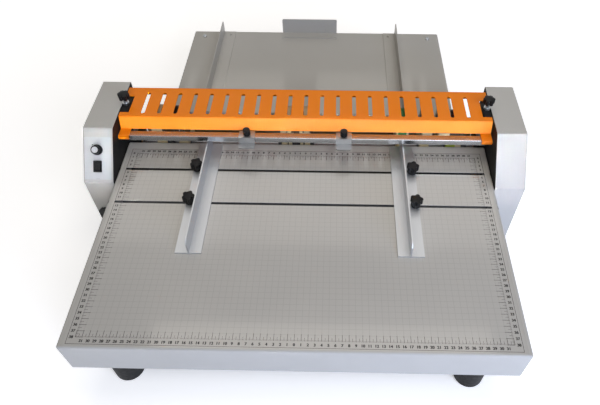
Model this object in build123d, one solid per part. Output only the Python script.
from build123d import *
import math
import os

os.makedirs("parts", exist_ok=True)

# Office creasing and perforating machine, in millimetres. X runs to the right as the operator sees
# it, Y runs from the front edge of the infeed table to the rear, Z is up from the bench.
# All pieces are drawn with Y measured from the front edge of the infeed table and are
# moved back by half the overall depth when they are saved.

# Infeed table: a folded sheet-steel pan with a printed scale film on top
table_width = 688.0
table_depth = 429.0
table_height = 150.0
table_skirt = 67.5
table_rear_skirt = 40.0
table_sheet = 2.0
table_bend = 3.0
table_rear_lip = 12.0
film_side_margin = 6.0
film_front_margin = 3.0
film_rear_margin = 4.0
film_thickness = 0.25
guide_slot_width = 5.5
guide_slot_side_margin = 12.0
front_slot_inset = 152.7
rear_slot_inset = 72.6

# Side plates, housings and base tray
table_side_gap = 0.5
side_plate_thickness = 4.0
housing_inside_width = 48.0
shell_sheet = 1.5
shell_bend = 3.0
shell_side_bend = 1.2
housing_table_overlap = 111.0
housing_depth = 204.0
housing_floor_gap = 12.0
slope_foot_rise = 3.5
slope_angle = 45.0
tray_sheet = 2.0
tray_side_height = 20.0
tray_relief = 3.0
tray_front_gap = 0.5
tray_low_gap = 2.5
tray_rear_drop = 3.0

# Gears, shafts and wheels
gear_module = 1.5
shaft_gear_teeth = 41
drive_gear_teeth = 60
pinion_teeth = 20
pressure_angle = 20.0
gear_backlash = 0.2
gear_root_share = 1.25
flank_steps = 3
gear_width = 10.0
drive_gear_width = 8.0
gear_spacer = 2.0
gear_plate_gap = 4.5
hub_gear_radius = 14.0
nip_gap = 0.4
shaft_radius = 7.5
shaft_running_gap = 0.05
shaft_end_gap = 1.0
shaft_table_distance = 29.0
wheel_lift = 2.0
cover_headroom = 8.2
tyre_depth = 10.0
holder_step = 0.95
small_holder_step = 2.05
shaft_hole_gap = 3.0
collar_radius = 12.0
collar_width = 6.0
hub_screw_radius = 2.0
hub_screw_length = 6.0
hub_screw_margin = 1.9

# Wheel stations along the shafts: the outer ones as distances from the side plate next to them,
# the middle ones as places beside the middle of the machine
left_feed_inset = 61.75
left_feed_width = 19.5
left_holder_inset = 75.5
left_holder_width = 7.0
perforator_inset = 104.5
perforator_width = 19.0
perforator_blade_width = 1.0
perforator_teeth = 72
perforator_tooth_depth = 1.2
centre_wheel_spans = ((-48.2, -37.6), (-34.9, -28.7), (-12.1, -6.7), (-3.8, 6.6))
centre_hub_spans = ((-37.6, -34.9), (-28.7, -12.1), (-6.7, -3.8), (6.6, 14.0))
centre_hub_start = -56.0
creaser_inset = 162.2
creaser_width = 15.6
creaser_flank_width = 4.0
creaser_groove_width = 3.0
creaser_groove_depth = 1.4
right_feed_inset = 115.2
right_feed_width = 18.0
right_tool_inset = 73.0
right_tool_width = 41.0
right_matrix_inset = 64.0
right_matrix_width = 17.9
right_counter_width = 11.2

# Bearing stands, sliding bearing blocks and their adjusting screws
stand_width = 56.0
stand_thickness = 14.0
stand_bottom_drop = 19.25
stand_top_gap = 3.0
bush_wall = 4.5
block_width = 40.0
block_slide_gap = 0.1
block_below_axis = 16.0
block_above_axis = 18.0
block_floor_gap = 0.3
block_flange_thickness = 3.0
block_flange_overlap = 4.0
block_flange_gap = 0.3
bridge_thickness = 13.5
adjust_screw_radius = 4.0
adjust_screw_bore_depth = 9.0
adjust_screw_tip_gap = 0.75
adjust_screw_fit = 0.06
adjust_collar_radius = 5.5
adjust_collar_height = 3.0
adjust_collar_gap = 0.3
adjust_nut_radius = 6.5
adjust_nut_height = 4.0
star_knob_radius = 11.0
star_knob_height = 12.0
star_knob_lobes = 6
star_knob_dome = 2.6
star_lobe_share = 0.3
star_neck_height = 14.0
star_bore_depth = 8.0
knob_edge_round = 0.8

# Cover, guide bar and clips
cover_side_gap = 2.5
cover_sheet = 1.5
cover_bend = 2.5
cover_table_lap = 9.0
cover_front_lean = 7.7
cover_front_low_rise = 49.2
cover_rear_gap = 17.5
cover_rear_drop = 16.5
cover_slot_end_margin = 32.0
cover_slot_pitch = 30.0
cover_slot_width = 7.2
cover_slot_inset = 8.5
cover_slot_length = 59.5
cover_notch_before = 27.0
cover_notch_depth = 5.0
cover_notch_length = 47.0
knob_notch_gap = 0.8
tab_width = 19.0
tab_reach = 21.3
tab_lip_drop = 7.0
ear_length = 12.0
ear_drop = 13.5
ear_rear_gap = 0.5
pivot_drop = 9.0
pivot_radius = 3.0
pivot_gap = 0.05
pivot_head_radius = 5.0
pivot_head_height = 3.5
bar_table_lap = 34.5
bar_depth = 14.0
bar_height = 11.0
bar_rise = 36.5
bar_edge = 0.5
left_clip_x = -106.8
right_clip_x = 71.4
clip_width = 29.0
clip_sheet = 1.9
clip_gap = 0.2
clip_rear_sheet = 1.4
clip_rear_drop = 9.0
clip_lip_drop = 2.5
clip_lip_reach = 14.0
clip_lip_round = 4.0
clip_screw_radius = 2.0
clip_screw_gap = 0.05
clip_knob_radius = 6.5
clip_knob_height = 11.5
clip_knob_flutes = 12
clip_flute_radius = 0.8
clip_tip_gap = 0.1

# Side guides on the infeed table and their clamp knobs
guide_x = 181.0
guide_blade_thickness = 2.3
guide_blade_height = 32.4
guide_nose_reach = 108.8
guide_rear_gap = 5.0
guide_nose_round = 11.0
guide_inner_flange = 20.5
guide_outer_flange = 23.0
guide_flange_thickness = 2.5
guide_lift = 0.15
guide_stud_offset = 17.0
guide_stud_radius = 2.5
guide_stud_gap = 0.05
guide_knob_radius = 11.4
guide_knob_height = 19.5
guide_knob_lobes = 5
guide_knob_hub_share = 0.72
guide_knob_dome = 2.4
guide_knob_gap = 0.1
guide_knob_base = 6.0
guide_nut_length = 20.0
guide_nut_width = 14.0
guide_nut_thickness = 4.0
guide_nut_gap = 0.3
guide_stud_tail = 2.0

# Rear table, its guides and the rear stop
rear_table_left_gap = 61.5
rear_table_right_gap = 47.5
rear_table_depth = 297.0
rear_table_drop = 3.0
rear_table_skirt = 15.0
rear_screw_side_margin = 26.5
rear_screw_end_margin = 23.0
rear_guide_lift = 0.1
rear_guide_sheet = 2.0
rear_guide_height = 29.0
rear_guide_flange = 27.0
rear_guide_front_gap = 1.0
rear_guide_rear_gap = 4.0
rear_guide_hole_radius = 2.5
rear_guide_hole_margin = 15.0
rear_guide_hole_inset = 16.0
left_rear_guide_inset = 72.0
right_rear_guide_inset = 103.5
rear_stop_left_reach = 79.0
rear_stop_width = 128.0
rear_stop_height = 36.0
rear_stop_flange = 23.0
rear_stop_rear_gap = 3.0
rear_corner_round = 3.0

# Feet
front_foot_inset = 60.5
front_foot_y = 37.0
front_foot_radius = 24.5
rear_foot_radius = 18.0
foot_rim_round = 4.0
housing_foot_inset = 26.5
housing_foot_margin = 28.0
housing_foot_radius = 14.0
housing_foot_round = 2.0

# Screws that hold the frame
screw_radius = 2.5
screw_length = 12.0
screw_head_radius = 4.6
screw_head_height = 3.0
screw_head_round = 1.0
screw_socket_radius = 1.6
screw_socket_depth = 1.6
screw_hole_gap = 0.05
countersink_radius = 5.0
countersink_depth = 2.6
table_screw_front_inset = 89.0
table_screw_rear_inset = 27.0
table_screw_drop = 25.0
tray_screw_end_margin = 27.0
tray_screw_rise = 11.0
stand_screw_side_margin = 6.0
stand_screw_low_margin = 8.0
stand_screw_high_margin = 7.0
flange_screw_drop = 9.0
flange_screw_end_margin = 83.0

# Geared motor
motor_angle = 60.0
gearbox_radius = 27.0
gearbox_length = 40.0
motor_radius = 25.0
motor_length = 80.0
motor_cap_radius = 10.0
motor_cap_length = 4.0
motor_edge_round = 1.5
motor_screw_circle = 19.0
motor_screws = 3
motor_shaft_radius = 4.0
motor_shaft_depth = 20.0
motor_shaft_hole_gap = 3.0
pinion_extra_width = 0.5

# Control panel on the left housing, as distances down the slope from its top edge
panel_offset = 23.0
label_width = 49.0
label_length = 76.5
label_start = 16.5
label_thickness = 0.5
label_round = 2.5
dial_start = 39.6
dial_radius = 9.5
dial_height = 11.5
dial_gap = 0.3
dial_grip_share = 0.82
dial_skirt_height = 4.0
dial_spindle_radius = 3.0
dial_spindle_gap = 0.05
dial_spindle_length = 22.0
dial_hole_gap = 1.0
dial_cap_radius = 5.5
dial_cap_thickness = 0.6
dial_edge_round = 0.7
rocker_start = 69.4
bezel_width = 15.0
bezel_length = 21.0
bezel_flange = 1.8
bezel_body_inset = 0.9
bezel_body_depth = 17.0
bezel_round = 1.0
rocker_width = 10.4
rocker_length = 16.0
rocker_side_gap = 0.35
rocker_end_gap = 0.8
rocker_crown = 2.6
rocker_dip = 1.9
rocker_depth = 4.0
rocker_pivot_drop = 1.2
rocker_pivot_radius = 1.3
rocker_pivot_gap = 0.05
rocker_pivot_reach = 0.6
rocker_tilt = 8.0
rocker_clear_depth = 7.0
board_thickness = 1.6
board_width = 34.0
board_length = 40.0
board_start = 20.0
board_depth = 16.0
potentiometer_radius = 8.5
board_relay_width = 15.0
board_relay_length = 19.0
board_relay_height = 12.0

# Mains inlet at the foot of the left housing
inlet_side_margin = 3.5
inlet_width = 47.5
inlet_low_z = 53.0
inlet_height = 30.0
inlet_flange = 3.5
inlet_chamfer = 8.0
inlet_body_inset = 3.5
inlet_body_depth = 24.0
inlet_socket_width = 24.5
inlet_socket_height = 16.5
inlet_socket_depth = 16.0
inlet_socket_chamfer = 4.0
inlet_pin_width = 2.0
inlet_pin_height = 4.0
inlet_pin_length = 11.0
inlet_pin_spread = 7.0
inlet_pin_offset = 2.0

# Sizes that follow from the ones above
film_width = table_width - 2 * film_side_margin
film_depth = table_depth - film_front_margin - film_rear_margin
guide_slot_length = table_width - 2 * guide_slot_side_margin
front_slot_y = table_depth - front_slot_inset
rear_slot_y = table_depth - rear_slot_inset
housing_front_y = table_depth - housing_table_overlap
plate_inner_x = table_width / 2 + table_side_gap
plate_outer_x = plate_inner_x + side_plate_thickness
adjust_screw_x = plate_inner_x - stand_thickness / 2
housing_inner_wall_x = plate_outer_x + housing_inside_width
housing_outer_x = housing_inner_wall_x + shell_sheet
housing_rear_y = housing_front_y + housing_depth
overall_depth = housing_rear_y + rear_table_depth
rear_table_left_x = rear_table_left_gap - plate_inner_x
rear_table_right_x = plate_inner_x - rear_table_right_gap
rear_table_width = rear_table_right_x - rear_table_left_x
centre_distance = gear_module * shaft_gear_teeth
drive_distance = gear_module * (drive_gear_teeth + pinion_teeth) / 2
wheel_radius = (centre_distance - nip_gap) / 2
tyre_inner = wheel_radius - tyre_depth
shaft_y = table_depth + shaft_table_distance
left_feed_x = left_feed_inset - plate_inner_x
left_holder_x = left_holder_inset - plate_inner_x
perforator_x = perforator_inset - plate_inner_x
creaser_x = plate_inner_x - creaser_inset
right_feed_x = plate_inner_x - right_feed_inset
right_tool_x = plate_inner_x - right_tool_inset
right_matrix_x = plate_inner_x - right_matrix_inset
upper_z = table_height + centre_distance / 2
lower_z = table_height - centre_distance / 2
housing_top_z = upper_z + wheel_radius + wheel_lift + cover_headroom + cover_sheet
slope_foot_z = table_height + slope_foot_rise
slope_run = (housing_top_z - slope_foot_z) / math.tan(math.radians(slope_angle))
slope_top_y = housing_front_y + slope_run
table_under_z = table_height - table_sheet
film_top_z = table_height + film_thickness
gear_start_x = plate_outer_x + gear_plate_gap
gear_end_x = gear_start_x + gear_width
drive_gear_start_x = gear_end_x + gear_spacer
drive_gear_end_x = drive_gear_start_x + drive_gear_width
motor_y = shaft_y - drive_distance * math.cos(math.radians(motor_angle))
motor_z = lower_z - drive_distance * math.sin(math.radians(motor_angle))
bar_front_y = table_depth - bar_table_lap
bar_low_z = table_height + bar_rise
bar_top_z = bar_low_z + bar_height
bar_rear_y = bar_front_y + bar_depth
rear_table_top_z = table_height - rear_table_drop
rear_table_under_z = rear_table_top_z - table_sheet
cover_width = 2 * (plate_inner_x - cover_side_gap)
cover_front_top_y = table_depth - cover_table_lap
cover_front_low_y = cover_front_top_y - cover_front_lean
cover_rear_y = housing_rear_y - cover_rear_gap
cover_slot_front_y = cover_front_top_y + cover_slot_inset
cover_slots_each_side = int((cover_width / 2 - cover_slot_end_margin) / cover_slot_pitch)
cover_notch_front_y = shaft_y - cover_notch_before
tab_front_y = cover_front_low_y - tab_reach
guide_front_y = front_slot_y - guide_nose_reach
guide_stud_x = guide_x + guide_stud_offset
front_foot_x = table_width / 2 - front_foot_inset
housing_foot_x = plate_inner_x - housing_foot_inset
panel_x = plate_outer_x + panel_offset
inlet_left_x = housing_outer_x - inlet_side_margin
pivot_y = cover_rear_y - cover_sheet - ear_rear_gap - ear_length / 2
pivot_z = housing_top_z - pivot_drop


def slab(x0, x1, y0, y1, z0, z1):
    """A box between two corners."""
    centre = Pos((x0 + x1) / 2, (y0 + y1) / 2, (z0 + z1) / 2)
    return centre * Box(abs(x1 - x0), abs(y1 - y0), abs(z1 - z0))


def rod_x(radius, x0, x1, y, z):
    """A round bar along X."""
    return Pos((x0 + x1) / 2, y, z) * Rot(0, 90, 0) * Cylinder(radius, abs(x1 - x0))


def rod_y(radius, x, y0, y1, z):
    """A round bar along Y."""
    return Pos(x, (y0 + y1) / 2, z) * Rot(90, 0, 0) * Cylinder(radius, abs(y1 - y0))


def rod_z(radius, x, y, z0, z1):
    """A round bar along Z."""
    return Pos(x, y, (z0 + z1) / 2) * Cylinder(radius, abs(z1 - z0))


def ring_x(outer_radius, inner_radius, x0, x1, y, z):
    """A ring around an axis along X."""
    return rod_x(outer_radius, x0, x1, y, z) - rod_x(inner_radius, x0, x1, y, z)


def slot_z(length, width, x, y, z0, z1):
    """A round-ended slot cutter that lies along X and goes down through a sheet."""
    straight = length - width
    middle = slab(x - straight / 2, x + straight / 2, y - width / 2, y + width / 2, z0, z1)
    ends = rod_z(width / 2, x - straight / 2, y, z0, z1) + rod_z(width / 2, x + straight / 2, y, z0, z1)
    return middle + ends


def rounded(solid, edges, radius):
    """Round the given edges of a solid."""
    return fillet(edges, radius) if radius > 0 else solid


def inset_line(points, depth):
    """Move an open line sideways to its right by the sheet thickness, with mitred corners."""
    normals = []
    for (ax, ay), (bx, by) in zip(points, points[1:]):
        run = math.hypot(bx - ax, by - ay)
        normals.append(((by - ay) / run, (ax - bx) / run))
    moved = []
    for index, (px, py) in enumerate(points):
        before = normals[max(index - 1, 0)]
        after = normals[min(index, len(normals) - 1)]
        share = depth / (1 + before[0] * after[0] + before[1] * after[1])
        moved.append((px + (before[0] + after[0]) * share, py + (before[1] + after[1]) * share))
    return moved


def side_plane(x):
    """A drawing plane across the machine whose two directions are Y and Z."""
    return Plane(origin=(x, 0, 0), x_dir=(0, 1, 0), z_dir=(1, 0, 0))


def rounded_outline(points, corners):
    """A closed outline, each of whose corners named in a list of (corner, radius) is rounded."""
    face = Sketch() + make_face(Polyline(*points, close=True))
    for (cx, cy), radius in corners:
        nearest = min(face.vertices(), key=lambda v: math.hypot(v.X - cx, v.Y - cy))
        face = fillet([nearest], radius)
    return face


def bent_sheet(points, sheet, bend, x0, x1):
    """A strip of sheet folded along an outer line and running from x0 to x1."""
    inner = inset_line(points, sheet)
    corners = [(corner, bend) for corner in points[1:-1]]
    corners += [(corner, bend - sheet) for corner in inner[1:-1]]
    face = rounded_outline(points + inner[::-1], corners)
    return extrude(side_plane(x0) * face, amount=x1 - x0)


def solid_profile(points, corners, x0, x1):
    """A solid with one outline across the machine, running from x0 to x1."""
    return extrude(side_plane(x0) * rounded_outline(points, corners), amount=x1 - x0)


def mirrored(solid):
    """The same solid on the other side of the machine."""
    return mirror(solid, about=Plane.YZ)


def save(name, *solids):
    """Write one piece, or several alike, moved back so that the middle is at Y zero."""
    placed = [Pos(0, -overall_depth / 2, 0) * solid for solid in solids]
    bodies = [body for item in placed for body in item.solids()]
    shape = bodies[0] if len(bodies) == 1 else Compound(children=bodies)
    export_step(shape, os.path.join("parts", name + ".step"))
    box = shape.bounding_box()
    low = ", ".join(f"{value:.2f}" for value in box.min)
    high = ", ".join(f"{value:.2f}" for value in box.max)
    print(name, "solids", len(bodies), "from", low, "to", high)


def pan_screw():
    """A pan-head socket screw whose head stands on Z zero and whose shank points down."""
    head = rod_z(screw_head_radius, 0, 0, 0, screw_head_height)
    head = rounded(head, head.edges().group_by(Axis.Z)[-1], screw_head_round)
    socket = rod_z(screw_socket_radius, 0, 0, screw_head_height - screw_socket_depth, screw_head_height)
    shank = rod_z(screw_radius, 0, 0, -screw_length, 0)
    return head + shank - socket


def frame_screw(spot, axis):
    """A frame screw with its head's underside at a spot and its shank along an axis."""
    aim = Plane(origin=spot, z_dir=(-axis[0], -axis[1], -axis[2]))
    return aim * pan_screw()


def screw_hole(spot, axis):
    """The hole that a frame screw's shank needs."""
    aim = Plane(origin=spot, z_dir=(-axis[0], -axis[1], -axis[2]))
    radius = screw_radius + screw_hole_gap
    reach = screw_length + screw_hole_gap
    return aim * rod_z(radius, 0, 0, -reach, screw_hole_gap)


# Where the frame screws go
table_screw_z = table_height - table_screw_drop
tray_screw_z = housing_floor_gap + tray_screw_rise
stand_low_z = lower_z - stand_bottom_drop
stand_top_z = housing_top_z - stand_top_gap
stand_front_y = shaft_y - stand_width / 2
stand_rear_y = shaft_y + stand_width / 2
stand_screw_ys = (stand_front_y + stand_screw_side_margin, stand_rear_y - stand_screw_side_margin)
stand_screw_zs = (stand_low_z + stand_screw_low_margin, stand_top_z - stand_screw_high_margin)
bar_screw_spot = (bar_front_y + bar_depth / 2, bar_low_z + bar_height / 2)
table_screw_ys = (table_depth - table_screw_front_inset, table_depth - table_screw_rear_inset)
tray_screw_ys = (housing_front_y + tray_screw_end_margin, housing_rear_y - tray_screw_end_margin)
table_screw_spots = [(y, table_screw_z) for y in table_screw_ys]
tray_screw_spots = [(y, tray_screw_z) for y in tray_screw_ys]
stand_screw_spots = [(y, z) for y in stand_screw_ys for z in stand_screw_zs]
side_screw_spots = table_screw_spots + tray_screw_spots + stand_screw_spots + [bar_screw_spot]
rear_corner_y = overall_depth - rear_screw_end_margin
rear_corner_xs = (rear_table_left_x + rear_screw_side_margin, rear_table_right_x - rear_screw_side_margin)
rear_table_middle_x = (rear_table_left_x + rear_table_right_x) / 2
flange_screw_spread = rear_table_width / 2 - flange_screw_end_margin
flange_screw_xs = [rear_table_middle_x + side * flange_screw_spread for side in (-1, 0, 1)]
flange_screw_z = rear_table_top_z - flange_screw_drop


def side_screw_holes():
    """Holes for all the screws that come through the right side plate from outside."""
    spots = [(plate_outer_x, y, z) for y, z in side_screw_spots]
    return [screw_hole(spot, (-1, 0, 0)) for spot in spots]


def motor_screw_spots():
    """The three screws that hold the gearbox to the right side plate."""
    turns = [2 * math.pi * index / motor_screws for index in range(motor_screws)]
    ys = [motor_y + motor_screw_circle * math.cos(turn) for turn in turns]
    zs = [motor_z + motor_screw_circle * math.sin(turn) for turn in turns]
    return [(plate_outer_x, y, z) for y, z in zip(ys, zs)]


def rear_corner_spots():
    return [(x, rear_corner_y, rear_table_top_z) for x in rear_corner_xs]


def flange_screw_spots():
    return [(x, housing_rear_y + table_sheet, flange_screw_z) for x in flange_screw_xs]


def frame_screws():
    """Every frame screw, all of one size."""
    right = [frame_screw((plate_outer_x, y, z), (-1, 0, 0)) for y, z in side_screw_spots]
    left = [mirrored(screw) for screw in right]
    motor = [frame_screw(spot, (-1, 0, 0)) for spot in motor_screw_spots()]
    corner = [frame_screw(spot, (0, 0, -1)) for spot in rear_corner_spots()]
    flange = [frame_screw(spot, (0, -1, 0)) for spot in flange_screw_spots()]
    return right + left + motor + corner + flange


# The housing outline, from the foot of the front face over the slope to the foot of the rear
housing_line = [
    (housing_front_y, housing_floor_gap),
    (housing_front_y, slope_foot_z),
    (slope_top_y, housing_top_z),
    (housing_rear_y, housing_top_z),
    (housing_rear_y, housing_floor_gap),
]
plate_line = inset_line(housing_line, shell_sheet)


def side_plate():
    """The right side plate, before the holes that only one side has."""
    corners = [(corner, shell_bend - shell_sheet) for corner in plate_line[1:-1]]
    plate = solid_profile(plate_line, corners, plate_inner_x, plate_outer_x)
    for hole in side_screw_holes():
        plate -= hole
    wide = shaft_radius + shaft_hole_gap
    for z in (lower_z, upper_z, upper_z + wheel_lift):
        plate -= rod_x(wide, plate_inner_x, plate_outer_x, shaft_y, z)
    slot = Box(side_plate_thickness, 2 * wide, wheel_lift)
    plate -= Pos((plate_inner_x + plate_outer_x) / 2, shaft_y, upper_z + wheel_lift / 2) * slot
    plate -= rod_x(pivot_radius + screw_hole_gap, plate_inner_x, plate_outer_x, pivot_y, pivot_z)
    return plate


def right_side_plate():
    plate = side_plate()
    hole_radius = motor_shaft_radius + motor_shaft_hole_gap
    plate -= rod_x(hole_radius, plate_inner_x, plate_outer_x, motor_y, motor_z)
    for spot in motor_screw_spots():
        plate -= screw_hole(spot, (-1, 0, 0))
    return plate


def housing_shell():
    """The right housing shell: a folded strip with an outer side wall."""
    outer_corners = [(corner, shell_bend) for corner in housing_line[1:-1]]
    outer = solid_profile(housing_line, outer_corners, plate_inner_x, housing_outer_x)
    side_edges = outer.edges().filter_by(lambda e: abs(e.center().X - housing_outer_x) < shell_sheet / 2)
    side_edges = [e for e in side_edges if e.center().Z > housing_floor_gap + shell_sheet]
    outer = fillet(side_edges, shell_side_bend)
    inner_corners = [(corner, shell_bend - shell_sheet) for corner in plate_line[1:-1]]
    inner = solid_profile(plate_line, inner_corners, plate_inner_x, housing_inner_wall_x)
    return outer - inner


def slope_plane(x, distance, side=-1):
    """A plane on the slope of one housing, with its X along the machine and its Z outward."""
    turn = math.radians(slope_angle)
    y = slope_top_y - distance * math.cos(turn)
    z = housing_top_z - distance * math.sin(turn)
    return Plane(origin=(side * x, y, z), x_dir=(1, 0, 0), z_dir=(0, -math.sin(turn), math.cos(turn)))


def left_housing_shell():
    shell = mirrored(housing_shell())
    through = bezel_body_depth
    dial_hole = rod_z(dial_spindle_radius + dial_hole_gap, 0, 0, -through, through)
    shell -= slope_plane(panel_x, dial_start) * dial_hole
    shell -= slope_plane(panel_x, rocker_start) * bezel_cutout(through)
    shell -= inlet_cutout()
    return shell


def bezel_cutout(depth):
    """The rectangular hole that the rocker switch's body sits in."""
    half_width = bezel_width / 2 - bezel_body_inset
    half_length = bezel_length / 2 - bezel_body_inset
    return slab(-half_width, half_width, -half_length, half_length, -depth, depth)


def inlet_cutout():
    """The hole in the left housing's front for the body of the mains inlet."""
    x0 = -inlet_left_x + inlet_body_inset
    x1 = -inlet_left_x + inlet_width - inlet_body_inset
    z0 = inlet_low_z + inlet_body_inset
    z1 = inlet_low_z + inlet_height - inlet_body_inset
    return slab(x0, x1, housing_front_y, housing_front_y + inlet_body_depth, z0, z1)


def base_tray():
    """The folded tray that joins the side plates and closes the machine at front, foot and rear."""
    front = housing_front_y
    rear = housing_rear_y
    low = housing_floor_gap
    rear_top = rear_table_under_z - tray_rear_drop + table_sheet
    front_top = table_under_z - tray_front_gap
    half = plate_inner_x
    half_high = table_width / 2 - table_sheet - tray_front_gap
    floor_top = low + tray_sheet
    inside_half = half - tray_sheet
    inside_front = front + tray_sheet
    inside_rear = rear - tray_sheet
    tray = slab(-half, half, front, rear, low, front_top)
    tray -= slab(-inside_half, inside_half, inside_front, inside_rear, floor_top, front_top)
    side_top = low + tray_side_height
    skirt_top = table_height - table_skirt - tray_low_gap
    for side in (-1, 1):
        edge = side * half
        inner_edge = side * inside_half
        tray -= slab(edge, inner_edge, inside_front, inside_rear, side_top, front_top)
        tray -= slab(edge, inner_edge, front, inside_front + tray_relief, floor_top, front_top)
        tray -= slab(edge, inner_edge, inside_rear - tray_relief, rear, floor_top, front_top)
        tray -= slab(edge, side * half_high, front, rear, skirt_top, front_top)
    tray -= slab(-half, half, rear - tray_sheet, rear, rear_top, front_top)
    for y, z in tray_screw_spots:
        hole = screw_hole((plate_outer_x, y, z), (-1, 0, 0))
        tray -= hole
        tray -= mirrored(hole)
    for spot in flange_screw_spots():
        tray -= screw_hole(spot, (0, -1, 0))
    return tray


def front_table():
    """The infeed table: a pan with a deep skirt at the front and sides and a lip at the rear."""
    half = table_width / 2
    skirt_low = table_height - table_skirt
    outer = slab(-half, half, 0, table_depth, skirt_low, table_height)
    top_edges = outer.edges().group_by(Axis.Z)[-1]
    corner_edges = outer.edges().filter_by(Axis.Z)
    outer = fillet(list(top_edges) + list(corner_edges), table_bend)
    inside_half = half - table_sheet
    inside_rear = table_depth - table_sheet
    pan = outer - slab(-inside_half, inside_half, table_sheet, inside_rear, skirt_low, table_under_z)
    pan -= slab(-half, half, housing_front_y, table_depth, skirt_low, table_height - table_rear_skirt)
    lip_low = table_height - table_rear_lip
    pan -= slab(-inside_half, inside_half, table_depth - table_bend, table_depth, skirt_low, lip_low)
    for slot in guide_slots(table_under_z, table_height):
        pan -= slot
    for y, z in table_screw_spots:
        hole = screw_hole((plate_outer_x, y, z), (-1, 0, 0))
        pan -= hole
        pan -= mirrored(hole)
    for side in (-1, 1):
        pan -= foot_screw(side * front_foot_x, screw_hole_gap)
    return pan


def guide_slots(z0, z1):
    return [slot_z(guide_slot_length, guide_slot_width, 0, y, z0, z1) for y in (front_slot_y, rear_slot_y)]


def foot_screw(x, gap=0.0):
    """A countersunk screw flush with the table top that goes down into a front foot."""
    shank = rod_z(screw_radius + gap, x, front_foot_y, table_height - screw_length - gap, table_height)
    middle = table_height - countersink_depth / 2
    cone = Pos(x, front_foot_y, middle) * Cone(screw_radius + gap, countersink_radius + gap, countersink_depth)
    return shank + cone


def table_scale_film():
    """The printed film on the table, with the guide slots cut through it."""
    half = film_width / 2
    film_rear_y = film_front_margin + film_depth
    film = slab(-half, half, film_front_margin, film_rear_y, table_height, film_top_z)
    for slot in guide_slots(table_height, film_top_z):
        film -= slot
    return film


def round_foot(radius, x, y, height, rim):
    """A round foot with a rounded lower rim."""
    foot = rod_z(radius, x, y, 0, height)
    return fillet(foot.edges().group_by(Axis.Z)[0], rim)


def front_feet():
    feet = []
    for side in (-1, 1):
        foot = round_foot(front_foot_radius, side * front_foot_x, front_foot_y, table_under_z, foot_rim_round)
        feet.append(foot - foot_screw(side * front_foot_x, screw_hole_gap))
    return feet


def rear_feet():
    feet = []
    for spot in rear_corner_spots():
        foot = round_foot(rear_foot_radius, spot[0], spot[1], rear_table_under_z, foot_rim_round)
        feet.append(foot - screw_hole(spot, (0, 0, -1)))
    return feet


def housing_feet():
    ys = (housing_front_y + housing_foot_margin, housing_rear_y - housing_foot_margin)
    spots = [(side * housing_foot_x, y) for side in (-1, 1) for y in ys]
    return [round_foot(housing_foot_radius, x, y, housing_floor_gap, housing_foot_round) for x, y in spots]


# Bearing stands: each carries a fixed lower bush and a window in which the upper block slides
stand_inner_x = plate_inner_x - stand_thickness
bush_radius = shaft_radius + bush_wall
block_low_z = upper_z - block_below_axis
block_top_z = upper_z + block_above_axis
window_low_z = block_low_z - block_floor_gap
window_top_z = stand_top_z - bridge_thickness
screw_tip_z = block_top_z - adjust_screw_bore_depth + wheel_lift + adjust_screw_tip_gap


def bearing_stand():
    """The right bearing stand."""
    stand = slab(stand_inner_x, plate_inner_x, stand_front_y, stand_rear_y, stand_low_z, stand_top_z)
    stand = fillet(stand.edges().filter_by(Axis.X), shell_bend)
    half = block_width / 2
    front = shaft_y - half
    rear = shaft_y + half
    stand -= slab(stand_inner_x, plate_inner_x, front, rear, window_low_z, window_top_z)
    stand -= rod_x(bush_radius, stand_inner_x, plate_inner_x, shaft_y, lower_z)
    hole_radius = adjust_screw_radius + adjust_screw_fit
    stand -= rod_z(hole_radius, adjust_screw_x, shaft_y, window_top_z, stand_top_z)
    for y, z in stand_screw_spots:
        stand -= screw_hole((plate_outer_x, y, z), (-1, 0, 0))
    return stand


def lower_bush():
    inner = shaft_radius + shaft_running_gap
    return ring_x(bush_radius, inner, stand_inner_x, plate_inner_x, shaft_y, lower_z)


def bearing_block():
    """The right upper bearing block, with an inside flange that laps the stand."""
    half = block_width / 2 - block_slide_gap
    flange_half = half + block_flange_overlap
    flange_outer = stand_inner_x - block_flange_gap
    flange_inner = flange_outer - block_flange_thickness
    block_outer = plate_inner_x - block_flange_gap
    low = block_low_z
    top = block_top_z
    block = slab(flange_outer, block_outer, shaft_y - half, shaft_y + half, low, top)
    block += slab(flange_inner, flange_outer, shaft_y - flange_half, shaft_y + flange_half, low, top)
    block -= rod_x(shaft_radius + shaft_running_gap, flange_inner, plate_inner_x, shaft_y, upper_z)
    hole_radius = adjust_screw_radius + adjust_screw_fit
    block -= rod_z(hole_radius, adjust_screw_x, shaft_y, block_top_z - adjust_screw_bore_depth, block_top_z)
    return block


def adjusting_screw():
    """The screw that lifts the right bearing block, with its captive collar and upper nut."""
    x = adjust_screw_x
    knob_low = stand_top_z + star_neck_height
    screw = rod_z(adjust_screw_radius, x, shaft_y, screw_tip_z, knob_low + star_bore_depth)
    collar_top = window_top_z - adjust_collar_gap
    screw += rod_z(adjust_collar_radius, x, shaft_y, collar_top - adjust_collar_height, collar_top)
    nut_low = stand_top_z + adjust_collar_gap
    nut = extrude(RegularPolygon(adjust_nut_radius, 6), adjust_nut_height)
    screw += Pos(x, shaft_y, nut_low) * nut
    return screw


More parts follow.
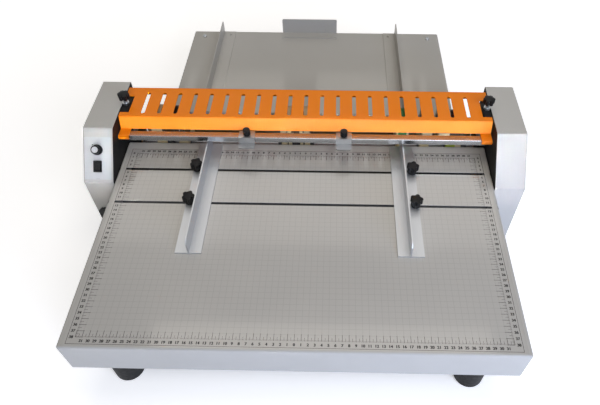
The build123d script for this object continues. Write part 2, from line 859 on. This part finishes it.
def lobed_head(radius, lobes, dome, x, y, z0, z1):
    """A knob head with round lobes, hollows between them and a domed top."""
    lobe_share = star_lobe_share
    lobe = radius * lobe_share
    reach = radius - lobe
    outline = Sketch() + Circle(reach)
    for index in range(lobes):
        turn = 2 * math.pi * index / lobes
        outline += Pos(reach * math.cos(turn), reach * math.sin(turn)) * Circle(lobe)
    outline = fillet(outline.vertices(), lobe * lobe_share)
    head = extrude(outline, z1 - z0)
    head = fillet(head.edges().group_by(Axis.Z)[0], knob_edge_round)
    ball_radius = (radius * radius + dome * dome) / (2 * dome)
    head &= Pos(0, 0, z1 - z0 - ball_radius) * Sphere(ball_radius)
    return Pos(x, y, z0) * head


def star_knob():
    """The right adjusting knob, pressed on the top of its screw."""
    low = stand_top_z + star_neck_height
    top = low + star_knob_height
    knob = lobed_head(star_knob_radius, star_knob_lobes, star_knob_dome, adjust_screw_x, shaft_y, low, top)
    return knob - rod_z(adjust_screw_radius, adjust_screw_x, shaft_y, low, low + star_bore_depth)


# Shafts, gears and wheels
shaft_end_x = plate_inner_x - shaft_end_gap


def shaft(z, right_end):
    """A shaft with a shoulder ring inside each bearing."""
    bar = rod_x(shaft_radius, -shaft_end_x, right_end, shaft_y, z)
    shoulder = stand_inner_x - block_flange_thickness - 2 * block_flange_gap
    for side in (-1, 1):
        bar += rod_x(collar_radius, side * shoulder, side * (shoulder - collar_width), shaft_y, z)
    return bar


def involute(angle):
    return math.tan(angle) - angle


def gear(teeth, x0, x1, y, z, bore, phase):
    """A spur gear with involute flanks. One tooth points along the phase angle from +Y to +Z."""
    pitch_radius = gear_module * teeth / 2
    base_radius = pitch_radius * math.cos(math.radians(pressure_angle))
    tip_radius = pitch_radius + gear_module
    root_radius = pitch_radius - gear_module * gear_root_share
    half_pitch = math.pi / (2 * teeth) - gear_backlash / (2 * pitch_radius)
    start = max(base_radius, root_radius)
    flank = []
    for step in range(flank_steps + 1):
        radius = start + (tip_radius - start) * step / flank_steps
        turn = math.acos(min(base_radius / radius, 1))
        flank.append((radius, half_pitch + involute(math.radians(pressure_angle)) - involute(turn)))
    flank = [(root_radius, flank[0][1])] + flank if start > root_radius else flank
    points = []
    for tooth in range(teeth):
        middle = phase + 2 * math.pi * tooth / teeth
        rising = [(radius, middle - half) for radius, half in flank]
        falling = [(radius, middle + half) for radius, half in reversed(flank)]
        points += [(y + r * math.cos(a), z + r * math.sin(a)) for r, a in rising + falling]
    wheel = extrude(side_plane(x0) * make_face(Polyline(*points, close=True)), amount=x1 - x0)
    return wheel - rod_x(bore, x0, x1, y, z) if bore > 0 else wheel


def upper_gear():
    """Its gap points down at the tooth of the lower gear."""
    phase = math.pi / shaft_gear_teeth - math.pi / 2
    return gear(shaft_gear_teeth, gear_start_x, gear_end_x, shaft_y, upper_z, shaft_radius, phase)


def lower_gear():
    """A double gear: the inner ring turns the upper gear and the outer ring is driven by the motor."""
    bore = shaft_radius
    inner = gear(shaft_gear_teeth, gear_start_x, gear_end_x, shaft_y, lower_z, bore, math.pi / 2)
    towards_motor = math.pi + math.radians(motor_angle)
    start = drive_gear_start_x
    end = drive_gear_end_x
    outer = gear(drive_gear_teeth, start, end, shaft_y, lower_z, bore, towards_motor)
    web = ring_x(hub_gear_radius, shaft_radius, gear_end_x, drive_gear_start_x, shaft_y, lower_z)
    return inner + web + outer


def motor_pinion():
    """The motor's output shaft and the pinion cut on it."""
    half_tooth = math.pi / pinion_teeth
    away = math.radians(motor_angle) + half_tooth
    start = drive_gear_start_x - pinion_extra_width
    end = drive_gear_end_x + pinion_extra_width
    wheel = gear(pinion_teeth, start, end, motor_y, motor_z, 0, away)
    shaft_start = plate_inner_x - motor_shaft_depth + shaft_end_gap
    return wheel + rod_x(motor_shaft_radius, shaft_start, start, motor_y, motor_z)


def gear_motor():
    """The geared motor, fixed by its gearbox to the inside of the right side plate."""
    face = plate_inner_x
    gearbox_end = face - gearbox_length
    motor_end = gearbox_end - motor_length
    body = rod_x(gearbox_radius, gearbox_end, face, motor_y, motor_z)
    body = fillet(body.edges().group_by(Axis.X)[0], motor_edge_round)
    can = rod_x(motor_radius, motor_end, gearbox_end, motor_y, motor_z)
    can = fillet(can.edges().group_by(Axis.X)[0], motor_edge_round)
    cap = rod_x(motor_cap_radius, motor_end - motor_cap_length, motor_end, motor_y, motor_z)
    motor = body + can + cap
    motor -= rod_x(motor_shaft_radius + shaft_running_gap, face - motor_shaft_depth, face, motor_y, motor_z)
    for spot in motor_screw_spots():
        motor -= screw_hole(spot, (-1, 0, 0))
    return motor


def tyre(middle, width, z, drop=0.0):
    """A polyurethane tyre on its black hub, less high than the others by the drop."""
    return ring_x(wheel_radius - drop, tyre_inner, middle - width / 2, middle + width / 2, shaft_y, z)


def hub(x0, x1, z, radius):
    """A black hub or holder disc on a shaft."""
    return ring_x(radius, shaft_radius, x0, x1, shaft_y, z)


def tyre_hub(middle, width, z):
    """The black hub inside one tyre, as wide as the tyre."""
    return hub(middle - width / 2, middle + width / 2, z, tyre_inner)


holder_radius = wheel_radius - holder_step
small_holder_radius = wheel_radius - small_holder_step


def centre_tyres(z):
    return [tyre((x0 + x1) / 2, x1 - x0, z) for x0, x1 in centre_wheel_spans]


def centre_hubs(z):
    """The hub pieces under and between the middle wheels, as one turned body."""
    return hub(centre_hub_start, centre_hub_spans[-1][1], z, tyre_inner)


def set_screw_spots():
    """X positions of the grub screws, in the bare stretches of the middle hub that have room."""
    room = 2 * hub_screw_radius + hub_screw_margin
    return [(x0 + x1) / 2 for x0, x1 in centre_hub_spans if x1 - x0 > room]


def set_screws(z, side):
    """Grub screws that clamp the middle hub on its shaft, pointing up or down at rest."""
    screws = []
    for x in set_screw_spots():
        low = z + side * (tyre_inner - hub_screw_length)
        screws.append(rod_z(hub_screw_radius, x, shaft_y, low, z + side * tyre_inner))
    return screws


def drilled(body, cutters):
    """A body less each of the given cutters."""
    for cutter in cutters:
        body -= cutter
    return body


def upper_feed_wheels():
    """Cream tyres of the upper shaft, and the two pale rings beside the green creasing ring."""
    counter_x = right_tool_x - right_tool_width / 4
    left = tyre(left_feed_x, left_feed_width, upper_z)
    right = tyre(right_feed_x, right_feed_width, upper_z)
    counter = tyre(counter_x, right_tool_width / 2, upper_z, holder_step)
    return [left, right, counter] + centre_tyres(upper_z) + creasing_ring_flanks()


def upper_tool_holders():
    """Black hubs and holders of the upper shaft."""
    feed_end = left_feed_x + left_feed_width / 2
    holder_end = left_holder_x + left_holder_width / 2
    left = tyre_hub(left_feed_x, left_feed_width, upper_z) + hub(feed_end, holder_end, upper_z, holder_radius)
    half = perforator_width / 2
    blade_half = perforator_blade_width / 2
    inner_half = hub(perforator_x - half, perforator_x - blade_half, upper_z, holder_radius)
    outer_half = hub(perforator_x + blade_half, perforator_x + half, upper_z, holder_radius)
    middle = drilled(centre_hubs(upper_z), set_screws(upper_z, 1))
    creaser = tyre_hub(creaser_x, creaser_width + 2 * creaser_flank_width, upper_z)
    feed = tyre_hub(right_feed_x, right_feed_width, upper_z)
    tool = hub(right_tool_x - right_tool_width / 2, right_tool_x, upper_z, tyre_inner)
    tool += hub(right_tool_x, right_tool_x + right_tool_width / 2, upper_z, small_holder_radius)
    return [left, inner_half, outer_half, middle, creaser, feed, tool]


def perforating_wheel():
    """A thin steel disc with a toothed edge, clamped between two black discs."""
    half = perforator_blade_width / 2
    points = []
    for index in range(perforator_teeth * 2):
        turn = math.pi * index / perforator_teeth
        reach = wheel_radius - perforator_tooth_depth * (index % 2)
        points.append((shaft_y + reach * math.cos(turn), upper_z + reach * math.sin(turn)))
    start = side_plane(perforator_x - half)
    disc = extrude(start * make_face(Polyline(*points, close=True)), amount=perforator_blade_width)
    return disc - rod_x(shaft_radius, perforator_x - half, perforator_x + half, shaft_y, upper_z)


def creasing_ring(middle, width, z):
    """A coloured ring with a groove round its middle in which the crease is pressed."""
    half = width / 2
    ring = ring_x(wheel_radius, tyre_inner, middle - half, middle + half, shaft_y, z)
    groove_half = creaser_groove_width / 2
    groove_floor = wheel_radius - creaser_groove_depth
    start = middle - groove_half
    end = middle + groove_half
    return ring - ring_x(wheel_radius, groove_floor, start, end, shaft_y, z)


def creasing_ring_flanks():
    """Pale rings on both sides of the green creasing ring."""
    offset = (creaser_width + creaser_flank_width) / 2
    places = (creaser_x - offset, creaser_x + offset)
    return [tyre(place, creaser_flank_width, upper_z, holder_step) for place in places]


def lower_feed_wheels():
    """Cream tyres of the lower shaft, among them the rollers that the tools press against."""
    counter_start = right_matrix_x + right_matrix_width / 2
    counter_middle = counter_start + right_counter_width / 2
    places = (
        (left_feed_x, left_feed_width),
        (perforator_x, perforator_width),
        (creaser_x, creaser_width),
        (right_feed_x, right_feed_width),
        (counter_middle, right_counter_width),
    )
    return [tyre(middle, width, lower_z) for middle, width in places] + centre_tyres(lower_z)


def lower_tool_holders():
    """Black hubs of the lower shaft."""
    feed_end = left_feed_x + left_feed_width / 2
    holder_end = left_holder_x + left_holder_width / 2
    left = tyre_hub(left_feed_x, left_feed_width, lower_z) + hub(feed_end, holder_end, lower_z, holder_radius)
    counter = tyre_hub(perforator_x, perforator_width, lower_z)
    middle = centre_hubs(lower_z)
    creaser = tyre_hub(creaser_x, creaser_width, lower_z)
    feed = tyre_hub(right_feed_x, right_feed_width, lower_z)
    start = right_matrix_x - right_matrix_width / 2
    end = right_matrix_x + right_matrix_width / 2 + right_counter_width
    tool = hub(start, end, lower_z, tyre_inner)
    tool += hub(end, end + right_counter_width, lower_z, holder_radius)
    return [left, counter, middle, creaser, feed, tool]


# Guide bar, cover and clips
def guide_bar():
    """The polished bar across the front of the rollers."""
    bar = slab(-plate_inner_x, plate_inner_x, bar_front_y, bar_rear_y, bar_low_z, bar_top_z)
    bar = chamfer(bar.edges().filter_by(Axis.X), bar_edge)
    hole = screw_hole((plate_outer_x, bar_screw_spot[0], bar_screw_spot[1]), (-1, 0, 0))
    return bar - hole - mirrored(hole)


def slotted_cover():
    """The orange cover: a folded sheet with slots, end tabs and two ears for its pivots."""
    low_z = table_height + cover_front_low_rise
    rear_line = [
        (cover_front_low_y, low_z),
        (cover_front_top_y, housing_top_z),
        (cover_rear_y, housing_top_z),
        (cover_rear_y, housing_top_z - cover_rear_drop),
    ]
    tab_line = [(tab_front_y, low_z - tab_lip_drop), (tab_front_y, low_z)] + rear_line
    half = cover_width / 2
    tab_inner = half - tab_width
    cover = bent_sheet(rear_line, cover_sheet, cover_bend, -tab_inner, tab_inner)
    right_end = bent_sheet(tab_line, cover_sheet, cover_bend, tab_inner, half)
    notch_x = adjust_screw_x - star_knob_radius - knob_notch_gap
    notch_rear_y = cover_notch_front_y + cover_notch_length
    notch_low_z = housing_top_z - cover_notch_depth
    right_end -= slab(notch_x, half, cover_notch_front_y, notch_rear_y, notch_low_z, housing_top_z)
    ear_rear_y = pivot_y + ear_length / 2
    ear_front_y = pivot_y - ear_length / 2
    ear_top = housing_top_z - cover_sheet
    ear = slab(half - cover_sheet, half, ear_front_y, ear_rear_y, ear_top - ear_drop, ear_top)
    low_edges = ear.edges().filter_by(Axis.X).group_by(Axis.Z)[0]
    ear = fillet(low_edges, cover_bend)
    ear -= rod_x(pivot_radius + pivot_gap, half - cover_sheet, half, pivot_y, pivot_z)
    right_end += ear
    cover = cover + right_end + mirrored(right_end)
    slot_half = cover_slot_width / 2
    slot_front = cover_slot_front_y + slot_half
    slot_rear = cover_slot_front_y + cover_slot_length - slot_half
    under_z = housing_top_z - cover_sheet
    for index in range(-cover_slots_each_side, cover_slots_each_side + 1):
        x = index * cover_slot_pitch
        cutter = slab(x - slot_half, x + slot_half, slot_front, slot_rear, under_z, housing_top_z)
        for end_y in (slot_front, slot_rear):
            cutter += rod_z(slot_half, x, end_y, under_z, housing_top_z)
        cover -= cutter
    return cover


def cover_pivot_screws():
    """Two shouldered screws through the side plates on which the cover turns."""
    tip = cover_width / 2 - cover_sheet - cover_sheet
    screw = rod_x(pivot_radius, tip, plate_outer_x, pivot_y, pivot_z)
    head = rod_x(pivot_head_radius, plate_outer_x, plate_outer_x + pivot_head_height, pivot_y, pivot_z)
    head = fillet(head.edges().group_by(Axis.X)[-1], knob_edge_round)
    screw += head
    return [screw, mirrored(screw)]


def clip(x):
    """A sheet clip over the guide bar with a lip that reaches forward over the paper."""
    half = clip_width / 2
    front = bar_front_y - clip_gap
    rear = bar_rear_y + clip_gap
    over = bar_top_z + clip_gap
    top = over + clip_sheet
    lip_low = bar_low_z - clip_lip_drop
    body = slab(x - half, x + half, front - clip_sheet, rear + clip_rear_sheet, over, top)
    body += slab(x - half, x + half, rear, rear + clip_rear_sheet, top - clip_rear_drop, top)
    body += slab(x - half, x + half, front - clip_sheet, front, lip_low, top)
    lip = slab(x - half, x + half, front - clip_sheet - clip_lip_reach, front, lip_low, lip_low + clip_sheet)
    lip = fillet(lip.edges().filter_by(Axis.Z).group_by(Axis.Y)[0], clip_lip_round)
    body += lip
    middle_y = bar_front_y + bar_depth / 2
    body -= rod_z(clip_screw_radius + clip_screw_gap, x, middle_y, over, top)
    return body


def clip_screw(x):
    """A knurled thumb screw that clamps a clip on the bar."""
    middle_y = bar_front_y + bar_depth / 2
    low = bar_top_z + clip_gap + clip_sheet + clip_gap
    top = low + clip_knob_height
    head = rod_z(clip_knob_radius, x, middle_y, low, top)
    head = fillet(head.edges().group_by(Axis.Z)[-1], knob_edge_round)
    for index in range(clip_knob_flutes):
        turn = 2 * math.pi * index / clip_knob_flutes
        fx = x + clip_knob_radius * math.cos(turn)
        fy = middle_y + clip_knob_radius * math.sin(turn)
        head -= rod_z(clip_flute_radius, fx, fy, low, top)
    return head + rod_z(clip_screw_radius, x, middle_y, bar_top_z + clip_tip_gap, low)


# Side guides on the infeed table
guide_low_z = film_top_z + guide_lift
guide_flange_top_z = guide_low_z + guide_flange_thickness
guide_rear_y = table_depth - guide_rear_gap


def side_guide():
    """The right side guide: an upright blade on a flat foot, with holes for its clamp screws."""
    blade_half = guide_blade_thickness / 2
    blade_top = guide_low_z + guide_blade_height
    y0 = guide_front_y
    y1 = guide_rear_y
    blade = slab(guide_x - blade_half, guide_x + blade_half, y0, y1, guide_low_z, blade_top)
    nose = blade.edges().filter_by(Axis.X).group_by(Axis.Y)[0].sort_by(Axis.Z)[-1]
    blade = fillet([nose], guide_nose_round)
    flange_x0 = guide_x - guide_inner_flange
    flange_x1 = guide_x + guide_outer_flange
    guide = blade + slab(flange_x0, flange_x1, y0, y1, guide_low_z, guide_flange_top_z)
    hole_radius = guide_stud_radius + guide_stud_gap
    for y in (front_slot_y, rear_slot_y):
        guide -= rod_z(hole_radius, guide_stud_x, y, guide_low_z, guide_flange_top_z)
    return guide


def guide_knob(x, y):
    """A clamp knob with its moulded-in stud, which goes down through guide and table."""
    low = guide_flange_top_z + guide_knob_gap
    top = low + guide_knob_height
    base_top = low + guide_knob_base
    head = lobed_head(guide_knob_radius, guide_knob_lobes, guide_knob_dome, x, y, base_top, top)
    base = rod_z(guide_knob_radius * guide_knob_hub_share, x, y, low, base_top)
    stud = rod_z(guide_stud_radius, x, y, guide_nut_low_z - guide_stud_tail, low)
    return head + base + stud


guide_nut_top_z = table_under_z - guide_nut_gap
guide_nut_low_z = guide_nut_top_z - guide_nut_thickness


def guide_nuts(side):
    """Two clamp nuts under the table that draw one guide down."""
    nuts = []
    middle_z = (guide_nut_low_z + guide_nut_top_z) / 2
    nut = Box(guide_nut_width, guide_nut_length, guide_nut_thickness)
    nut -= Cylinder(guide_stud_radius + guide_stud_gap, guide_nut_thickness)
    for y in (front_slot_y, rear_slot_y):
        nuts.append(Pos(side * guide_stud_x, y, middle_z) * nut)
    return nuts


# Rear table with its guides and stop
def rear_table():
    """The shallow pan that catches the finished sheets."""
    x0 = rear_table_left_x
    x1 = rear_table_right_x
    low = rear_table_top_z - rear_table_skirt
    outer = slab(x0, x1, housing_rear_y, overall_depth, low, rear_table_top_z)
    top_edges = outer.edges().group_by(Axis.Z)[-1]
    corner_edges = outer.edges().filter_by(Axis.Z)
    outer = fillet(list(top_edges) + list(corner_edges), table_bend)
    inside_front = housing_rear_y + table_sheet
    inside_rear = overall_depth - table_sheet
    pan = outer - slab(x0 + table_sheet, x1 - table_sheet, inside_front, inside_rear, low, rear_table_under_z)
    for spot in rear_corner_spots():
        pan -= screw_hole(spot, (0, 0, -1))
    for spot in flange_screw_spots():
        pan -= screw_hole(spot, (0, -1, 0))
    return pan


rear_guide_low_z = rear_table_top_z + rear_guide_lift
rear_guide_front_y = housing_rear_y + rear_guide_front_gap
rear_guide_rear_y = overall_depth - rear_guide_rear_gap


def rear_guide(x, side):
    """An angle guide on the rear table. Its blade stands at x and its foot points to the middle."""
    top = rear_guide_low_z + rear_guide_height
    y0 = rear_guide_front_y
    y1 = rear_guide_rear_y
    blade = slab(x, x + side * rear_guide_sheet, y0, y1, rear_guide_low_z, top)
    blade = fillet(blade.edges().filter_by(Axis.X).group_by(Axis.Z)[-1], rear_corner_round)
    foot_x = x - side * rear_guide_flange
    foot = slab(foot_x, x, y0, y1, rear_guide_low_z, rear_guide_low_z + rear_guide_sheet)
    foot_top = rear_guide_low_z + rear_guide_sheet
    hole_x = x - side * rear_guide_hole_inset
    hole_y = y1 - rear_guide_hole_margin
    return blade + foot - rod_z(rear_guide_hole_radius, hole_x, hole_y, rear_guide_low_z, foot_top)


def rear_stop():
    """The angle that stops the sheets at the rear."""
    x0 = rear_table_middle_x - rear_stop_left_reach
    x1 = x0 + rear_stop_width
    rear = overall_depth - rear_stop_rear_gap
    front = rear - rear_stop_flange
    low = rear_guide_low_z
    plate = slab(x0, x1, rear - rear_guide_sheet, rear, low, low + rear_stop_height)
    plate = fillet(plate.edges().filter_by(Axis.Y).group_by(Axis.Z)[-1], rear_corner_round)
    return plate + slab(x0, x1, front, rear - rear_guide_sheet, low, low + rear_guide_sheet)


# Control panel
def control_label_plate():
    """The light plate behind the dial and the rocker switch."""
    middle = label_start + label_length / 2
    plate = extrude(RectangleRounded(label_width, label_length, label_round), label_thickness)
    plate = slope_plane(panel_x, middle) * plate
    dial_hole = rod_z(dial_spindle_radius + dial_hole_gap, 0, 0, -label_thickness, 2 * label_thickness)
    plate -= slope_plane(panel_x, dial_start) * dial_hole
    return plate - slope_plane(panel_x, rocker_start) * bezel_cutout(bezel_body_depth)


def rocker_bezel():
    """The rocker switch's body with its rectangular rim and two pivot holes."""
    base = label_thickness
    rim = extrude(RectangleRounded(bezel_width, bezel_length, bezel_round), bezel_flange)
    body = Pos(0, 0, base) * rim
    half_width = bezel_width / 2 - bezel_body_inset
    half_length = bezel_length / 2 - bezel_body_inset
    body += slab(-half_width, half_width, -half_length, half_length, -bezel_body_depth, base)
    hollow_half_width = rocker_width / 2 + rocker_side_gap
    hollow_half_length = rocker_length / 2 + rocker_end_gap
    hollow = Box(2 * hollow_half_width, 2 * hollow_half_length, rocker_clear_depth + base + bezel_flange)
    body -= Pos(0, 0, (base + bezel_flange - rocker_clear_depth) / 2) * hollow
    pin_half = rocker_width / 2 + rocker_pivot_reach + rocker_side_gap
    body -= rod_x(rocker_pivot_radius + rocker_pivot_gap, -pin_half, pin_half, 0, -rocker_pivot_drop)
    return slope_plane(panel_x, rocker_start) * body


def rocker():
    """The rocker, tilted to its off position."""
    half = rocker_length / 2
    crown = label_thickness + rocker_crown
    dip = label_thickness + rocker_dip
    points = [(-half, -rocker_depth), (half, -rocker_depth), (half, crown), (0, dip), (-half, crown)]
    face = make_face(Polyline(*points, close=True))
    body = extrude(side_plane(-rocker_width / 2) * face, amount=rocker_width)
    pin_half = rocker_width / 2 + rocker_pivot_reach
    body += rod_x(rocker_pivot_radius, -pin_half, pin_half, 0, -rocker_pivot_drop)
    tilt = Pos(0, 0, -rocker_pivot_drop) * Rot(-rocker_tilt, 0, 0) * Pos(0, 0, rocker_pivot_drop)
    return slope_plane(panel_x, rocker_start) * tilt * body


def speed_dial():
    """The speed dial with a fluted grip and its spindle."""
    low = label_thickness + dial_gap
    top = low + dial_height
    grip_radius = dial_radius * dial_grip_share
    skirt = rod_z(dial_radius, 0, 0, low, low + dial_skirt_height)
    skirt = fillet(skirt.edges().group_by(Axis.Z)[-1], dial_edge_round)
    grip = rod_z(grip_radius, 0, 0, low, top)
    grip = fillet(grip.edges().group_by(Axis.Z)[-1], dial_edge_round)
    spindle = rod_z(dial_spindle_radius, 0, 0, low - dial_spindle_length, low)
    return slope_plane(panel_x, dial_start) * (skirt + grip + spindle)


def speed_dial_cap():
    low = label_thickness + dial_gap + dial_height
    return slope_plane(panel_x, dial_start) * rod_z(dial_cap_radius, 0, 0, low, low + dial_cap_thickness)


def speed_control_board():
    """The circuit board under the panel, with the speed potentiometer soldered on it."""
    middle = board_start + board_length / 2
    board_x = plate_outer_x + housing_inside_width / 2
    board_top = -shell_sheet - board_depth
    board = Pos(0, 0, board_top - board_thickness / 2) * Box(board_width, board_length, board_thickness)
    board = slope_plane(board_x, middle) * board
    can = rod_z(potentiometer_radius, 0, 0, board_top, -shell_sheet)
    under = board_top - board_thickness
    relay = Pos(0, 0, under - board_relay_height / 2)
    relay = relay * Box(board_relay_width, board_relay_length, board_relay_height)
    board += slope_plane(panel_x, dial_start) * can
    board += slope_plane(board_x, middle) * relay
    hole = rod_z(dial_spindle_radius + dial_spindle_gap, 0, 0, -dial_spindle_length - board_thickness, 0)
    return board - slope_plane(panel_x, dial_start) * hole


def mains_inlet():
    """The three-pin mains inlet at the foot of the left housing's front."""
    x0 = -inlet_left_x
    x1 = x0 + inlet_width
    z0 = inlet_low_z
    z1 = z0 + inlet_height
    front = housing_front_y - inlet_flange
    flange = slab(x0, x1, front, housing_front_y, z0, z1)
    top_corners = flange.edges().filter_by(Axis.Y).group_by(Axis.Z)[-1]
    flange = chamfer(top_corners, inlet_chamfer)
    inset = inlet_body_inset
    depth = inlet_body_depth
    body = slab(x0 + inset, x1 - inset, housing_front_y, housing_front_y + depth, z0 + inset, z1 - inset)
    middle_x = (x0 + x1) / 2
    middle_z = (z0 + z1) / 2
    half_w = inlet_socket_width / 2
    half_h = inlet_socket_height / 2
    back = front + inlet_socket_depth
    socket = slab(middle_x - half_w, middle_x + half_w, front, back, middle_z - half_h, middle_z + half_h)
    socket = chamfer(socket.edges().filter_by(Axis.Y).group_by(Axis.Z)[-1], inlet_socket_chamfer)
    inlet = flange + body - socket
    pins = ((-1, -1), (0, 1), (1, -1))
    pin = Box(inlet_pin_width, inlet_pin_length, inlet_pin_height)
    for side, level in pins:
        pin_x = middle_x + side * inlet_pin_spread
        pin_z = middle_z + level * inlet_pin_offset
        inlet += Pos(pin_x, back - inlet_pin_length / 2, pin_z) * pin
    return inlet


# Frame and housings
save("left_side_plate", mirrored(side_plate()))
save("right_side_plate", right_side_plate())
save("left_housing_shell", left_housing_shell())
save("right_housing_shell", housing_shell())
save("base_tray", base_tray())
save("front_table", front_table())
save("table_scale_film", table_scale_film())
save("front_foot_screws", foot_screw(-front_foot_x), foot_screw(front_foot_x))
save("table_feet", *front_feet(), *rear_feet())
save("housing_feet", *housing_feet())
save("rear_table", rear_table())
save("frame_screws", *frame_screws())

# Rollers, gears and drive
right_stand = bearing_stand()
right_bush = lower_bush()
save("left_bearing_stand", mirrored(right_stand))
save("right_bearing_stand", right_stand)
save("lower_shaft_bushes", mirrored(right_bush), right_bush)
save("left_bearing_block", mirrored(bearing_block()))
save("right_bearing_block", bearing_block())
save("left_adjusting_screw", mirrored(adjusting_screw()))
save("right_adjusting_screw", adjusting_screw())
save("left_adjusting_knob", mirrored(star_knob()))
save("right_adjusting_knob", star_knob())
save("upper_shaft", shaft(upper_z, gear_end_x))
save("lower_shaft", shaft(lower_z, drive_gear_end_x))
save("upper_gear", upper_gear())
save("lower_gear", lower_gear())
save("motor_pinion", motor_pinion())
save("gear_motor", gear_motor())
save("upper_feed_wheels", *upper_feed_wheels())
save("lower_feed_wheels", *lower_feed_wheels())
save("upper_tool_holders", *upper_tool_holders())
save("lower_tool_holders", *lower_tool_holders())
save("perforating_wheel", perforating_wheel())
save("upper_creasing_ring", creasing_ring(creaser_x, creaser_width, upper_z))
save("lower_creasing_ring", creasing_ring(right_matrix_x, right_matrix_width, lower_z))
save("upper_set_screws", *set_screws(upper_z, 1))

# Cover, bar, clips and guides
save("slotted_cover", slotted_cover())
save("cover_pivot_screws", *cover_pivot_screws())
save("guide_bar", guide_bar())
save("left_clip", clip(left_clip_x))
save("right_clip", clip(right_clip_x))
save("left_clip_screw", clip_screw(left_clip_x))
save("right_clip_screw", clip_screw(right_clip_x))
save("left_side_guide", mirrored(side_guide()))
save("right_side_guide", side_guide())
save("left_front_guide_knob", guide_knob(-guide_stud_x, front_slot_y))
save("left_rear_guide_knob", guide_knob(-guide_stud_x, rear_slot_y))
save("right_front_guide_knob", guide_knob(guide_stud_x, front_slot_y))
save("right_rear_guide_knob", guide_knob(guide_stud_x, rear_slot_y))
save("left_guide_nuts", *guide_nuts(-1))
save("right_guide_nuts", *guide_nuts(1))
save("left_rear_guide", rear_guide(rear_table_left_x + left_rear_guide_inset, -1))
save("right_rear_guide", rear_guide(rear_table_right_x - right_rear_guide_inset, 1))
save("rear_stop", rear_stop())

# Electrical pieces in and on the left housing
save("control_label_plate", control_label_plate())
save("rocker_bezel", rocker_bezel())
save("rocker", rocker())
save("speed_dial", speed_dial())
save("speed_dial_cap", speed_dial_cap())
save("speed_control_board", speed_control_board())
save("mains_inlet", mains_inlet())
